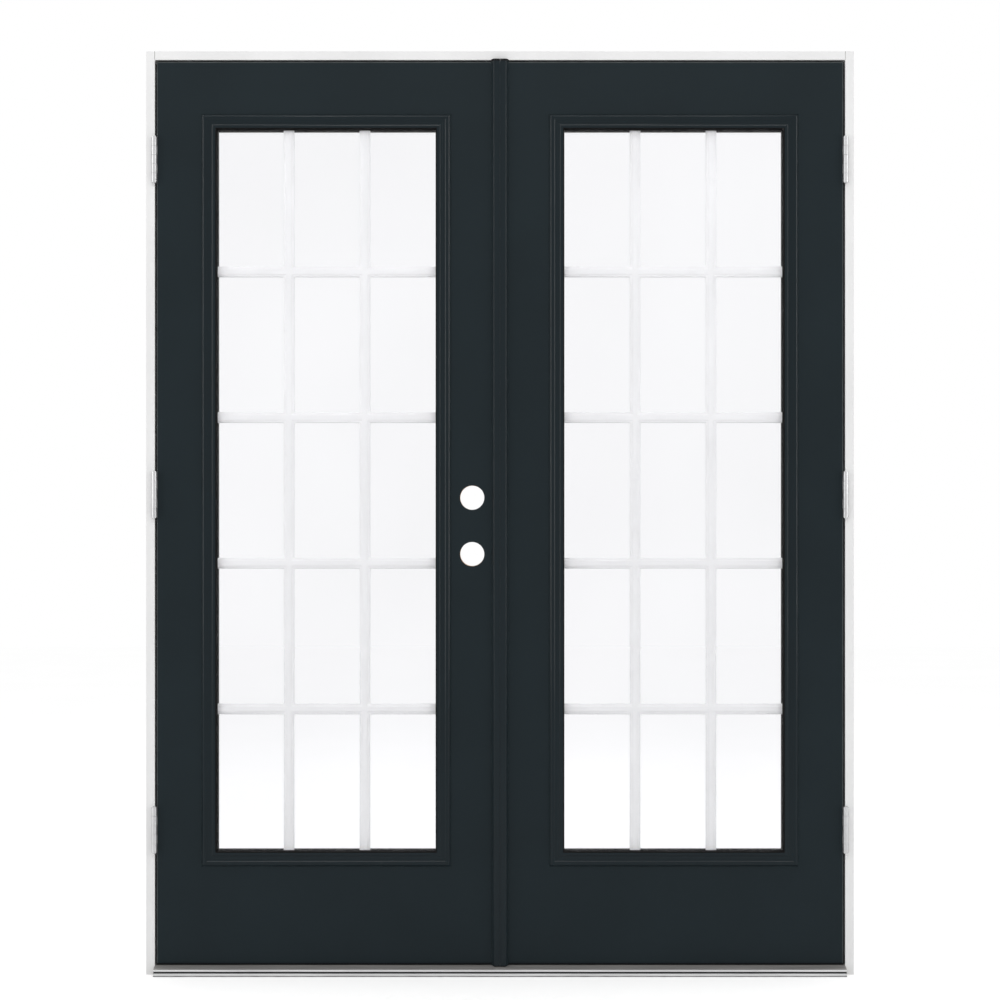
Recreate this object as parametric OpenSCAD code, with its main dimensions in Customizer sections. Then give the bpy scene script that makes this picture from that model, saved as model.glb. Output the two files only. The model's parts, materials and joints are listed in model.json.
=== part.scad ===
// Outswing pair of glazed french doors in its own frame.
// Millimetres, +Z up, X along the wall, -Y outdoors. The origin lies on the underside of the
// sill, midway between the jambs, in the plane of the outer jamb faces.

/* [Leaves] */
// Height of the side jambs
unit_h = 2052; // [1960:1:2300]
// Width of one door leaf
leaf_w = 754.25; // [740:0.05:860]
// Thickness of one door leaf
leaf_t = 44.45; // [43:0.05:48]
// Setback of the leaf from the outer face of the jamb
leaf_y = 1.5; // [1:0.1:2.5]
// Height of the leaf bottom over the underside of the sill
leaf_z = 24.6; // [24:0.05:27]
// Gap round the leaf at the hinge side and at the head
edge_gap = 4; // [3:0.1:5]
// Half of the distance between the two slabs at the centre
meet_half = 9.05; // [8:0.05:11]
// Thickness of the moulded skins
skin_t = 1.6; // [1.2:0.1:2.2]
// Width of the eased edge of the skins
ease_w = 2.4; // [1.5:0.1:4]
// Depth of the eased edge of the skins
ease_d = 1.3; // [0.8:0.1:1.4]
// Width of the hinge stile inside the leaf
stile_w = 35; // [28:1:45]
// Width of the stile at the meeting edge
lock_stile_w = 86; // [80:1:100]
// Height of the rails inside the leaf
rail_h = 32; // [24:1:60]

/* [Frame] */
// Thickness of the jambs and the head
jamb_t = 31.75; // [30:0.05:36]
// Depth of the jambs and the head through the wall
jamb_d = 115.9; // [105:0.1:170]
// Depth of the rabbet that the leaves close into
rabbet = 12.7; // [11.5:0.1:13.5]
// Gap between the closed leaf and the stop
seal_gap = 3.05; // [2.6:0.05:4]
// Width of the kerf that holds the seals
kerf_w = 3; // [2.4:0.1:3.5]
// Depth of the kerf that holds the seals
kerf_d = 10; // [8:0.5:12]
// Width of the seal bulbs
bulb_w = 10; // [7:0.5:11]
// Clearance of the seals from the closed leaf
seal_clear = 0.4; // [0.35:0.05:0.7]
// Clearance of the seal fin in its kerf
fin_clear = 0.3; // [0.2:0.05:0.5]
// Height of the foot pads on the stops
pad_h = 42; // [25:1:60]

/* [Sill] */
// Reach of the sill nose in front of the jambs
nose_reach = 28; // [20:0.5:34]
// Height of the sill nose
nose_z = 16.5; // [15.6:0.1:17.4]
// Gap between the leaf bottom and the deck below the outer leaf face
sill_gap = 3.8; // [3.4:0.1:4.6]
// Rise of the deck from there to the bumper
deck_rise = 0.8; // [0.4:0.1:1]
// Thickness of the deck metal
deck_t = 2; // [1.5:0.1:2.5]
// Height of the bright bead at the nose
bead_h = 4.5; // [3.5:0.1:5]
// Height of the groove below the bead
groove_h = 3.7; // [2.5:0.1:4]
// Depth of the groove below the bead
groove_d = 7; // [5:0.1:9]
// Height of the bumper over the underside of the sill
bumper_z = 38; // [34:0.5:44]
// Width of the flat top of the bumper
bumper_top = 14; // [13:0.5:24]
// Height of the inner edge of the bumper
bumper_low = 21; // [18:0.5:26]
// Height of the substrate below the bumper
bed_z = 13; // [10:0.5:14]

/* [Glass] */
// Width of the leaf beside the sealed glass unit
side_margin = 123.125; // [115:0.005:150]
// Height of the leaf above the sealed glass unit
top_margin = 139.7; // [100:0.1:200]
// Height of the leaf below the sealed glass unit
bottom_margin = 239.05; // [100:0.05:400]
// Thickness of one pane
pane_t = 3.2; // [2.5:0.1:4]
// Thickness of the sealed glass unit
unit_t = 19.05; // [17:0.05:22]
// Overlap of the lite frame on the glass
glass_bite = 11.2; // [10.6:0.1:13]
// Thickness of the glazing tape
tape_t = 1; // [0.6:0.1:1.6]
// Width of the glazing tape
tape_w = 9; // [6:0.5:9.5]
// Width of the spacer between the panes
spacer_w = 7; // [5:0.5:8]
// Setback of the spacer from the glass edge
spacer_in = 3; // [2:0.5:4]
// Width of the grille bars
bar_w = 24; // [16:0.5:26]
// Thickness of the grille bars
bar_t = 8; // [5:0.5:9]

/* [Lite frame] */
// Face width of the lite frame
lite_face = 34.6; // [33.5:0.1:40]
// Height of the lite frame over the skin
lite_proud = 8; // [6:0.5:8.5]
// Gap between glass edge and the opening in the slab
lite_gap = 9; // [8:0.1:10]
// Clearance of the lite frame in the slab opening and round the glass
lite_clear = 0.6; // [0.4:0.1:1]
// Radius of the clamping screws
lite_screw_r = 1.9; // [1.5:0.1:2.2]
// Radius of the heads of the clamping screws
lite_head_r = 3.3; // [2.8:0.1:3.6]
// Height of the heads of the clamping screws
lite_head_h = 2.4; // [1.8:0.1:3]

/* [Meeting edge] */
// Half of the seam between the two nosings
seam_half = 0.25; // [0.2:0.05:0.5]
// Half width of the centre nosing
nosing_half = 20; // [16:0.5:24]
// Height of the centre nosing over the skin
nosing_proud = 14; // [10:0.5:15]
// Gap between the edge caps at their outer side, halved
cap_gap = 1.6; // [1.4:0.1:2.5]
// Draw back of the cap at its inner side
cap_bevel = 1.15; // [1:0.05:2]
// Drop of the nosing below the slab
nosing_drop = 2.4; // [1.5:0.1:2.6]
// Clearance of the rubber foot and the sweep from the sill
foot_clear = 0.5; // [0.4:0.1:0.8]
// Height of the pad on top of the nosing
cap_pad_h = 4.4; // [3:0.1:6]
// Clearance of the upper pad from the face of the head
pad_clear = 0.5; // [0.4:0.1:1]
// Setback of the meeting seal from the outer skin
meet_seal_y = 5; // [4:0.5:8]
// Width of the meeting seal
meet_seal_w = 6; // [4:0.5:9]

/* [Hinges] */
// Height of a hinge
hinge_h = 101.6; // [90:0.1:114]
// Radius of the hinge knuckles
knuckle_r = 6; // [5.5:0.1:6.1]
// Radius of the hinge pin
pin_r = 3.175; // [2.8:0.025:3.5]
// Running clearance of the pin
pin_clear = 0.05; // [0.02:0.01:0.09]
// Height of the pin tips
pin_tip = 1.5; // [1:0.1:3]
// Radius of the pin tips
pin_tip_r = 4.6; // [4:0.1:5]
// Thickness of the hinge plates
plate_t = 2.4; // [2:0.1:2.8]
// Distance of the plate back from the outer jamb face
plate_back = 32; // [29:0.5:36]
// Corner radius of the hinge plates
plate_corner = 6.35; // [3:0.05:16]
// Distance of the hinge pin from the outer jamb face
pin_out = 6.5; // [6.5:0.1:8]
// Clearance between the hinge halves
hinge_clear = 0.4; // [0.35:0.05:0.6]
// Height of the lowest hinge centre over the leaf bottom
hinge_low = 298.1; // [200:0.05:400]
// Drop of the highest hinge centre below the leaf top
hinge_drop = 218.45; // [150:0.05:300]
// Radius of the hinge screws
screw_r = 2.2; // [1.8:0.1:2.5]
// Radius of the hinge screw heads
screw_head_r = 4.2; // [3.6:0.1:4.4]
// Length of the hinge screws
screw_l = 15; // [10:0.5:17]
// Clearance round the screw shanks
screw_clear = 0.2; // [0.1:0.05:0.3]

/* [Lock and bolts] */
// Height of the lower lock bore over the leaf bottom
bore_low = 909.85; // [850:0.05:940]
// Distance between the lock bores
bore_gap = 125.65; // [100:0.05:150]
// Radius of the lock bores
bore_r = 27; // [25:0.5:27]
// Distance of the lock bores from the capped edge
backset = 60.3; // [56:0.1:62]
// Radius of the latch bores in the edge
latch_r = 12.7; // [11:0.1:13]
// Radius of the keeper bores in the other leaf
keeper_r = 11.1; // [10:0.1:12]
// Depth of the keeper bores in the other leaf
keeper_d = 32; // [20:1:40]
// Radius of the edge bolts
bolt_r = 4.75; // [4:0.05:5.5]
// Clearance round the edge bolts
bolt_clear = 0.35; // [0.3:0.05:0.6]
// Length of the edge bolts
bolt_l = 220; // [160:1:300]
// Travel of the edge bolts
bolt_throw = 16; // [12:0.5:16]
// Depth of the bolts behind the slab edge
bolt_in = 16; // [13:0.5:20]
// Setback of the resting bolt end from the slab end
bolt_rest = 1; // [0.5:0.1:2]
// Height of the thumb piece of a bolt
thumb_h = 18; // [14:1:30]
// Width of the thumb piece of a bolt
thumb_w = 6.4; // [5:0.1:8]
// Setback of the thumb piece from the capped edge
thumb_in = 3; // [1.5:0.1:5]
// Length of the head strike
strike_l = 60; // [40:1:90]
// Width of the head strike
strike_w = 24; // [20:1:30]
// Wall of the bolt socket in the sill
socket_t = 2; // [1.5:0.1:3]
// Floor of the bolt socket over the underside of the sill
socket_z = 3; // [2:0.1:5]

/* [Frame screws] */
// Length of the frame screws
long_l = 62; // [55:1:80]
// Radius of the frame screws
long_r = 2.4; // [2:0.1:3]
// Radius of the frame screw heads
long_head_r = 4.6; // [4:0.1:5.5]
// Height of the frame screw heads
long_head_h = 3; // [2:0.1:4]

/* [Hidden] */
// Overrun of every cut
over = 1;
// Shares of the lite frame section: across the face from its outer edge, and of its height
lite_shares = [[0, 0], [0, 0.1], [0.025, 0.34], [0.06, 0.56], [0.11, 0.78], [0.17, 0.93], [0.23, 1],
    [0.28, 0.99], [0.33, 0.9], [0.385, 0.76], [0.44, 0.65], [0.5, 0.6], [0.55, 0.58], [0.585, 0.5],
    [0.63, 0.47], [0.68, 0.5], [0.715, 0.6], [0.76, 0.7], [0.8, 0.73], [0.88, 0.72], [0.925, 0.67],
    [0.955, 0.55], [0.97, 0.35]];
// Share of the lite frame height that its leg is rooted in
root_share = 0.3;
// Share of the lip depth that is left square at the sight edge
lip_share = 0.3;
// Shares of the nosing section: of its half width and of its height
nosing_shares = [[1, 0], [0.99, 0.12], [0.95, 0.3], [0.89, 0.5], [0.82, 0.69], [0.75, 0.84], [0.68, 0.94],
    [0.6, 0.99], [0.53, 1], [0.46, 0.99], [0.4, 0.96]];
// Shares of a grille bar section: of its half width and of its half thickness
bar_shares = [[1, 0.3], [0.9, 0.62], [0.72, 0.74], [0.56, 0.78], [0.5, 1]];
// Shares of the seal bulb section: of its width and of its thickness
bulb_shares = [[0, 0], [1, 0], [1, 0.45], [0.93, 0.78], [0.8, 0.95], [0.65, 1], [0.3, 1], [0.12, 0.9],
    [0, 0.6]];
// Knuckles of a hinge
knuckles = 5;
// Glass fields across and up
fields_x = 3;
fields_z = 5;
// Places of the hinge screws: shares of the half height and of the plate depth
screw_shares = [[0.78, 0.36], [0.28, 0.74], [-0.28, 0.36], [-0.78, 0.74]];
// Places of the clamping screws along the lite frame: shares of the glass half sizes
lite_screw_x_shares = [-0.6, 0.6];
lite_screw_z_shares = [-0.9, -0.45, 0, 0.45, 0.9];
// Places of the frame screws in the depth: shares of the depth before and behind the stop face
front_screw_share = 0.5;
back_screw_share = 0.6;
// Share of the slab thickness that a clamping screw reaches through
lite_screw_share = 0.8;
// Share of the apron height below its bevel
apron_share = 0.36;
// Share of the nose bead height that its edge is rounded over
bead_share = 0.25;
// Share of the nosing section that the rubber foot fills
foot_share = 0.85;
// Share of the nosing section that the upper pad fills
pad_share = 0.98;
// Share of the meeting seal that its edges are eased over
tip_share = 0.25;

// Planes of the leaf, seen on the left leaf
rabbet_half = leaf_w + edge_gap + meet_half;
face_w = jamb_t - rabbet;
stop_y = leaf_y + leaf_t + seal_gap;
head_z = unit_h - face_w;
leaf_top = head_z - edge_gap;
leaf_h = leaf_top - leaf_z;
hinge_x = -rabbet_half + edge_gap;
meet_x = -meet_half;
mid_x = (hinge_x + meet_x) / 2;
mid_y = leaf_y + leaf_t / 2;
mid_z = leaf_z + (bottom_margin + leaf_h - top_margin) / 2;
in_y = leaf_y + leaf_t;
core_y = leaf_y + skin_t;
core_d = leaf_t - 2 * skin_t;

// Glass unit and lite frames
glass_w = leaf_w - 2 * side_margin;
glass_h = leaf_h - top_margin - bottom_margin;
sight_w = glass_w - 2 * glass_bite;
sight_h = glass_h - 2 * glass_bite;
lite_w = sight_w + 2 * lite_face;
lite_h = sight_h + 2 * lite_face;
cut_w = glass_w + 2 * lite_gap;
cut_h = glass_h + 2 * lite_gap;
pane_y = mid_y - unit_t / 2;
gap_t = unit_t - 2 * pane_t;
lip_d = pane_y - tape_t - leaf_y;
leg_out = (lite_w - cut_w) / 2 + lite_clear;
leg_in = lite_face - glass_bite - lite_clear;
leg_mid = (leg_out + leg_in) / 2;
leg_d = leaf_t / 2 - lite_clear;
leg_root = lite_proud * root_share;
spacer_half_w = glass_w / 2 - spacer_in;
spacer_half_h = glass_h / 2 - spacer_in;

// Hinges
pin_x = -rabbet_half;
knuckle_h = hinge_h / knuckles;
hinge_zs = [leaf_z + hinge_low, (leaf_z + hinge_low + leaf_top - hinge_drop) / 2, leaf_top - hinge_drop];

// Sill
deck_knee = leaf_z - sill_gap;
nose_slope = (deck_knee - nose_z) / (leaf_y + nose_reach);
deck_slope = deck_rise / (stop_y - leaf_y);
bead_z = nose_z - bead_h;
apron_z = bead_z - groove_h;
deck_in = groove_d + deck_t - nose_reach;
bumper_mid = bumper_z - kerf_w - bulb_w / 2;

// Lock and bolts
bore_x = -cap_gap - backset;
bore_zs = [leaf_z + bore_low, leaf_z + bore_low + bore_gap];
bolt_x = meet_half + bolt_in;
strike_r = bolt_r + 2 * bolt_clear;
socket_r = strike_r + socket_t;
bulb_t = seal_gap - seal_clear;

// Height of the sill deck at a distance from the jamb face
function deck_z(y) = deck_knee + (y - leaf_y) * (y < leaf_y ? nose_slope : deck_slope);

// Face of the left edge cap at a distance from the jamb face
function cap_face(y) = -cap_gap - cap_bevel * (y - leaf_y) / leaf_t;

// Section drawn in Y and Z, drawn out along X about the centre
module along_x(length) {
    translate([-length / 2, 0, 0])
        rotate([90, 0, 90])
            linear_extrude(height = length)
                children();
}

// Round bar along +Y
module along_y(r, length) {
    rotate([-90, 0, 0])
        cylinder(r = r, h = length, $fn = 48);
}

// Round bar along +X
module bar_x(r, length) {
    rotate([0, 90, 0])
        cylinder(r = r, h = length, $fn = 48);
}

// Flat head screw that points along +Z, head face at the origin
module plate_screw() {
    cylinder(r1 = screw_head_r, r2 = screw_r, h = plate_t, $fn = 48);
    translate([0, 0, plate_t])
        cylinder(r = screw_r, h = screw_l - plate_t, $fn = 48);
}

// Countersink for a flat head screw in a plate
module plate_sink() {
    cylinder(r1 = screw_head_r, r2 = screw_r, h = plate_t, $fn = 48);
}

// Hole for the shank of a flat head screw in the wood behind a plate
module plate_pilot() {
    cylinder(r = screw_r + screw_clear, h = screw_l + screw_clear, $fn = 48);
}

// Hinge plate about its middle height, from the pin inwards, with rounded back corners
module hinge_plate(thickness) {
    rotate([90, 0, 90])
        linear_extrude(height = thickness) {
            translate([-pin_out, -hinge_h / 2])
                square([pin_out + plate_back - plate_corner, hinge_h]);
            translate([-pin_out, plate_corner - hinge_h / 2])
                square([pin_out + plate_back, hinge_h - 2 * plate_corner]);
            for (side = [-1, 1])
                translate([plate_back - plate_corner, side * (hinge_h / 2 - plate_corner)])
                    circle(r = plate_corner, $fn = 48);
        }
}

// Places of the screws of the left jamb hinge leaves
module jamb_screw_places() {
    for (z = hinge_zs, s = screw_shares)
        translate([-rabbet_half, s[1] * plate_back, z + s[0] * hinge_h / 2])
            rotate([0, -90, 0])
                children();
}

// Places of the screws of the left door hinge leaves
module door_screw_places() {
    for (z = hinge_zs, s = screw_shares)
        translate([hinge_x, s[1] * plate_back, z + s[0] * hinge_h / 2])
            rotate([0, 90, 0])
                children();
}

// Places of the two screws of the head strike
module strike_screw_places() {
    for (side = [-1, 1])
        translate([bolt_x + side * (strike_l / 2 - strike_w / 2), mid_y, head_z])
            children();
}

// Frame screw that points along +X, head face at the origin
module frame_screw() {
    bar_x(long_head_r, long_head_h);
    translate([long_head_h, 0, 0])
        bar_x(long_r, long_l - long_head_h);
}

// Hole for a frame screw
module frame_screw_hole() {
    translate([-over, 0, 0])
        bar_x(long_head_r + screw_clear, long_head_h + over);
    bar_x(long_r + screw_clear, long_l + screw_clear);
}

// Places of the frame screws at the left jamb
module frame_screw_places() {
    front_y = stop_y * front_screw_share;
    back_y = stop_y + (jamb_d - stop_y) * back_screw_share;
    for (p = [[front_y, unit_h - face_w / 2], [back_y, unit_h - jamb_t / 2],
            [front_y, bed_z / 2], [back_y, bed_z / 2]])
        translate([-rabbet_half - face_w, p[0], p[1]])
            children();
}

// Both sides of the unit
module both_sides() {
    children();
    mirror([1, 0, 0])
        children();
}

// Side jamb on the left
module side_jamb() {
    difference() {
        linear_extrude(height = unit_h)
            polygon([[-rabbet_half - face_w, 0], [-rabbet_half, 0], [-rabbet_half, stop_y + kerf_d],
                [-rabbet_half + kerf_w, stop_y + kerf_d], [-rabbet_half + kerf_w, stop_y],
                [-rabbet_half + rabbet, stop_y], [-rabbet_half + rabbet, jamb_d],
                [-rabbet_half - face_w, jamb_d]]);
        for (z = hinge_zs)
            translate([-rabbet_half - plate_t, 0, z])
                hinge_plate(plate_t + over);
        jamb_screw_places()
            plate_pilot();
        frame_screw_places()
            frame_screw_hole();
    }
}

module left_jamb() {
    color("white")
        side_jamb();
}

module right_jamb() {
    color("white")
        mirror([1, 0, 0])
            side_jamb();
}

// Head between the side jambs, with its stop and kerf
module head_jamb() {
    color("white")
        difference() {
            union() {
                along_x(2 * rabbet_half)
                    polygon([[0, head_z], [stop_y, head_z], [stop_y, unit_h], [0, unit_h]]);
                along_x(2 * (rabbet_half - rabbet))
                    polygon([[stop_y, head_z - rabbet], [jamb_d, head_z - rabbet], [jamb_d, unit_h],
                        [stop_y - over, unit_h], [stop_y - over, head_z], [stop_y + kerf_d, head_z],
                        [stop_y + kerf_d, head_z - kerf_w], [stop_y, head_z - kerf_w]]);
            }
            both_sides()
                frame_screw_places()
                    frame_screw_hole();
            translate([bolt_x - strike_l / 2, mid_y - strike_w / 2, head_z - over])
                cube([strike_l, strike_w, plate_t + over]);
            translate([bolt_x, mid_y, head_z])
                cylinder(r = strike_r, h = bolt_throw, $fn = 48);
            strike_screw_places()
                plate_pilot();
        }
}

module head_strike() {
    color("silver")
        difference() {
            translate([bolt_x - strike_l / 2, mid_y - strike_w / 2, head_z])
                cube([strike_l, strike_w, plate_t]);
            translate([bolt_x, mid_y, head_z - over])
                cylinder(r = strike_r, h = plate_t + 2 * over, $fn = 48);
            strike_screw_places()
                plate_sink();
        }
}

// Solid bed of the sill, notched round the stops of the jambs
module sill_substrate() {
    color("tan")
        difference() {
            union() {
                along_x(2 * rabbet_half)
                    polygon([[deck_in, 0], [stop_y, 0], [stop_y, deck_z(stop_y) - deck_t],
                        [leaf_y, deck_knee - deck_t], [deck_in, deck_z(deck_in) - deck_t]]);
                along_x(2 * (rabbet_half - rabbet))
                    polygon([[stop_y - over, 0], [jamb_d, 0], [jamb_d, bed_z], [stop_y - over, bed_z]]);
            }
            both_sides()
                frame_screw_places()
                    frame_screw_hole();
            translate([bolt_x, mid_y, socket_z])
                cylinder(r = socket_r + screw_clear, h = leaf_z, $fn = 48);
        }
}

// Metal deck with apron, groove and nose bead
module sill_deck() {
    color("silver")
        difference() {
            along_x(2 * rabbet_half)
                polygon([[deck_t - nose_reach, 0], [-nose_reach, apron_z * apron_share],
                    [-nose_reach, apron_z], [groove_d - nose_reach, apron_z],
                    [groove_d - nose_reach, bead_z], [-nose_reach, bead_z],
                    [-nose_reach, nose_z - bead_h * bead_share],
                    [bead_h * bead_share - nose_reach, nose_z], [leaf_y, deck_knee],
                    [stop_y, deck_z(stop_y)], [stop_y, deck_z(stop_y) - deck_t],
                    [leaf_y, deck_knee - deck_t], [deck_in, deck_z(deck_in) - deck_t], [deck_in, 0]]);
            translate([bolt_x, mid_y, 0])
                cylinder(r = socket_r + screw_clear, h = leaf_z, $fn = 48);
        }
}

module sill_socket() {
    color("silver")
        translate([bolt_x, mid_y, socket_z])
            difference() {
                cylinder(r = socket_r, h = deck_z(mid_y - socket_r) - socket_z, $fn = 48);
                translate([0, 0, socket_t])
                    cylinder(r = strike_r, h = leaf_z, $fn = 48);
            }
}

// Raised bumper behind the leaves
module sill_bumper() {
    color("silver")
        along_x(2 * (rabbet_half - rabbet))
            polygon([[stop_y, bed_z], [stop_y, bumper_mid - kerf_w / 2],
                [stop_y + kerf_d, bumper_mid - kerf_w / 2], [stop_y + kerf_d, bumper_mid + kerf_w / 2],
                [stop_y, bumper_mid + kerf_w / 2], [stop_y, bumper_z - kerf_w],
                [stop_y + kerf_w, bumper_z], [stop_y + bumper_top, bumper_z], [jamb_d, bumper_low],
                [jamb_d, bed_z]]);
}

module sill_seal() {
    color("dimgray")
        along_x(2 * (rabbet_half - rabbet)) {
            polygon([for (s = bulb_shares)
                [stop_y - s[1] * bulb_t, bumper_mid + (s[0] - 1 / 2) * bulb_w]]);
            translate([stop_y - bulb_t / 2, bumper_mid - kerf_w / 2 + fin_clear])
                square([kerf_d + bulb_t / 2 - fin_clear, kerf_w - 2 * fin_clear]);
        }
}

// Section of a weatherstrip from its corner on the stop: bulb across X, fin along Y
module seal_section() {
    fin_w = kerf_w - 2 * fin_clear;
    fin_d = kerf_d - fin_clear;
    polygon(concat([[0, fin_d], [fin_w, fin_d], [fin_w, 0]],
        [for (i = [1:len(bulb_shares) - 1]) [bulb_shares[i][0] * bulb_w, -bulb_shares[i][1] * bulb_t]]));
}

module side_weatherstrip() {
    translate([-rabbet_half + fin_clear, stop_y, deck_z(stop_y) + pad_h])
        linear_extrude(height = head_z - deck_z(stop_y) - pad_h)
            seal_section();
}

module side_weatherstrips() {
    color("dimgray")
        both_sides()
            side_weatherstrip();
}

module head_weatherstrip() {
    color("dimgray")
        along_x(2 * (rabbet_half - rabbet))
            translate([stop_y, head_z - fin_clear])
                rotate(-90)
                    seal_section();
}

module foot_pads() {
    color("black")
        both_sides()
            translate([-rabbet_half, stop_y - bulb_t, deck_z(stop_y)])
                cube([rabbet, bulb_t, pad_h]);
}

module frame_screws() {
    color("gray")
        both_sides()
            frame_screw_places()
                frame_screw();
}

module frame_plate_screws() {
    color("silver") {
        both_sides()
            jamb_screw_places()
                plate_screw();
        strike_screw_places()
            plate_screw();
    }
}

// Opening for the lite in the left leaf
module lite_cut() {
    translate([mid_x - cut_w / 2, leaf_y - over, mid_z - cut_h / 2])
        cube([cut_w, leaf_t + 2 * over, cut_h]);
}

// Through bores for the lockset in the left leaf
module lock_bores() {
    for (z = bore_zs)
        translate([bore_x, leaf_y - over, z])
            along_y(bore_r, leaf_t + 2 * over);
}

// Bores from the meeting edge to the lock bores
module latch_bores() {
    for (z = bore_zs)
        translate([bore_x, mid_y, z])
            bar_x(latch_r, -bore_x);
}

// Bores that take the latches in the other leaf, drawn on the left
module keeper_bores() {
    for (z = bore_zs)
        translate([meet_x - keeper_d, mid_y, z])
            bar_x(keeper_r, keeper_d + meet_half);
}

// Bolt and thumb piece with an allowance all round and a longer slot, for the upper bolt
module bolt_form(extra, slot) {
    translate([bolt_x, mid_y, leaf_top - bolt_rest - bolt_l - extra])
        cylinder(r = bolt_r + extra, h = bolt_l + extra + slot, $fn = 48);
    translate([cap_gap + thumb_in - extra - slot, mid_y - thumb_w / 2 - extra,
            leaf_top - bolt_rest - bolt_l - extra])
        cube([bolt_x - cap_gap - thumb_in + extra + slot, thumb_w + 2 * extra, thumb_h + 2 * extra + slot]);
}

// Upper bolt form turned over for the lower end of the leaf
module lower_end() {
    translate([0, 0, leaf_z + leaf_top])
        mirror([0, 0, 1])
            children();
}

// Room for both bolts in the right leaf
module bolt_room() {
    bolt_form(bolt_clear, bolt_throw);
    lower_end()
        bolt_form(bolt_clear, bolt_throw);
}

// Beds of the door hinge leaves in the left leaf
module hinge_beds() {
    for (z = hinge_zs)
        translate([hinge_x - over, 0, z])
            hinge_plate(plate_t + over);
}

// Block inside the left leaf between its skins
module core_block(x0, x1, z0, z1) {
    translate([x0, core_y, z0])
        cube([x1 - x0, core_d, z1 - z0]);
}

// Section of an eased edge along +X and its face along +Y, both from the corner
module ease_section() {
    polygon([[-over, ease_d], [0, ease_d], [ease_w, 0], [ease_w, -over], [-over, -over]]);
}

// Room outside the eased edges of the outer skin at the hinge side, top and bottom
module eased_edges() {
    translate([hinge_x, leaf_y, leaf_z - over])
        linear_extrude(height = leaf_h + 2 * over)
            ease_section();
    translate([hinge_x - over, leaf_y, leaf_z])
        rotate([0, 90, 0])
            rotate([0, 0, 180])
                linear_extrude(height = leaf_w + 2 * over)
                    mirror([0, 1])
                        ease_section();
    translate([hinge_x - over, leaf_y, leaf_top])
        rotate([0, 90, 0])
            linear_extrude(height = leaf_w + 2 * over)
                ease_section();
}

// Outer skin of the left leaf
module outer_skin() {
    difference() {
        translate([hinge_x, leaf_y, leaf_z])
            cube([leaf_w, skin_t, leaf_h]);
        lite_cut();
        hinge_beds();
        eased_edges();
    }
}

// Inner skin of the left leaf, the outer one turned about the middle of the slab
module inner_skin() {
    difference() {
        translate([0, 2 * mid_y, 0])
            mirror([0, 1, 0])
                difference() {
                    translate([hinge_x, leaf_y, leaf_z])
                        cube([leaf_w, skin_t, leaf_h]);
                    eased_edges();
                }
        lite_cut();
    }
}

module hinge_stile() {
    difference() {
        core_block(hinge_x, hinge_x + stile_w, leaf_z, leaf_top);
        hinge_beds();
        door_screw_places()
            plate_pilot();
    }
}

module meeting_stile() {
    core_block(meet_x - lock_stile_w, meet_x, leaf_z, leaf_top);
}

module top_rail() {
    core_block(hinge_x + stile_w, meet_x - lock_stile_w, leaf_top - rail_h, leaf_top);
}

module bottom_rail() {
    core_block(hinge_x + stile_w, meet_x - lock_stile_w, leaf_z, leaf_z + rail_h);
}

module foam_core() {
    difference() {
        core_block(hinge_x + stile_w, meet_x - lock_stile_w, leaf_z + rail_h, leaf_top - rail_h);
        lite_cut();
    }
}

// One mitred side of the lite frame, laid along X below the centre of the ring
module lite_side(length, across) {
    section = concat([for (s = lite_shares) [s[0] * lite_face, s[1] * lite_proud]],
        [[lite_face, -lip_d * (1 - lip_share)], [lite_face, -lip_d], [leg_in, -lip_d], [leg_in, 0]]);
    intersection() {
        along_x(length)
            polygon([for (p = section) [-p[1], p[0] - across / 2]]);
        rotate([90, 0, 0])
            linear_extrude(height = 2 * leaf_t, center = true)
                polygon([[-length / 2, -across / 2], [length / 2, -across / 2],
                    [length / 2 - lite_face, lite_face - across / 2],
                    [lite_face - length / 2, lite_face - across / 2]]);
    }
}

// Four sides of the outer half of the lite frame, their seat on the skin at Y 0
module lite_ring() {
    for (a = [0, 180]) {
        rotate([0, a, 0])
            lite_side(lite_w, lite_h);
        rotate([0, a + 90, 0])
            lite_side(lite_h, lite_w);
    }
}

// Places of the clamping screws, head seats on the inner skin plane
module lite_screw_places() {
    translate([mid_x, in_y, mid_z])
        for (side = [-1, 1]) {
            for (s = lite_screw_x_shares)
                translate([s * glass_w / 2, 0, side * (lite_h / 2 - leg_mid)])
                    children();
            for (s = lite_screw_z_shares)
                translate([side * (lite_w / 2 - leg_mid), 0, s * glass_h / 2])
                    children();
        }
}

// Clamping screw with an allowance all round
module lite_screw(extra, head_h) {
    along_y(lite_head_r + extra, head_h);
    translate([0, -leaf_t * lite_screw_share - extra, 0])
        along_y(lite_screw_r + extra, leaf_t * lite_screw_share + extra);
}

// Leg of a lite frame in the slab opening, one ring all round
module lite_leg(y) {
    ring(lite_w / 2 - leg_out, lite_h / 2 - leg_out, leg_in - leg_out, y, leg_d + leg_root);
}

module exterior_lite_frame() {
    difference() {
        union() {
            translate([mid_x, leaf_y, mid_z])
                lite_ring();
            lite_leg(leaf_y - leg_root);
        }
        lite_screw_places()
            lite_screw(screw_clear, lite_proud);
    }
}

module interior_lite_frame() {
    difference() {
        union() {
            translate([mid_x, in_y, mid_z])
                mirror([0, 1, 0])
                    lite_ring();
            lite_leg(in_y - leg_d);
        }
        lite_screw_places()
            lite_screw(screw_clear, lite_proud);
    }
}

module lite_screws() {
    lite_screw_places()
        lite_screw(0, lite_head_h);
}

module pane(y) {
    translate([mid_x - glass_w / 2, y, mid_z - glass_h / 2])
        cube([glass_w, pane_t, glass_h]);
}

// Flat ring about the centre of the glass
module ring(half_w, half_h, width, y, depth) {
    translate([mid_x, y, mid_z])
        difference() {
            translate([-half_w, 0, -half_h])
                cube([2 * half_w, depth, 2 * half_h]);
            translate([width - half_w, -over, width - half_h])
                cube([2 * (half_w - width), depth + 2 * over, 2 * (half_h - width)]);
        }
}

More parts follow.
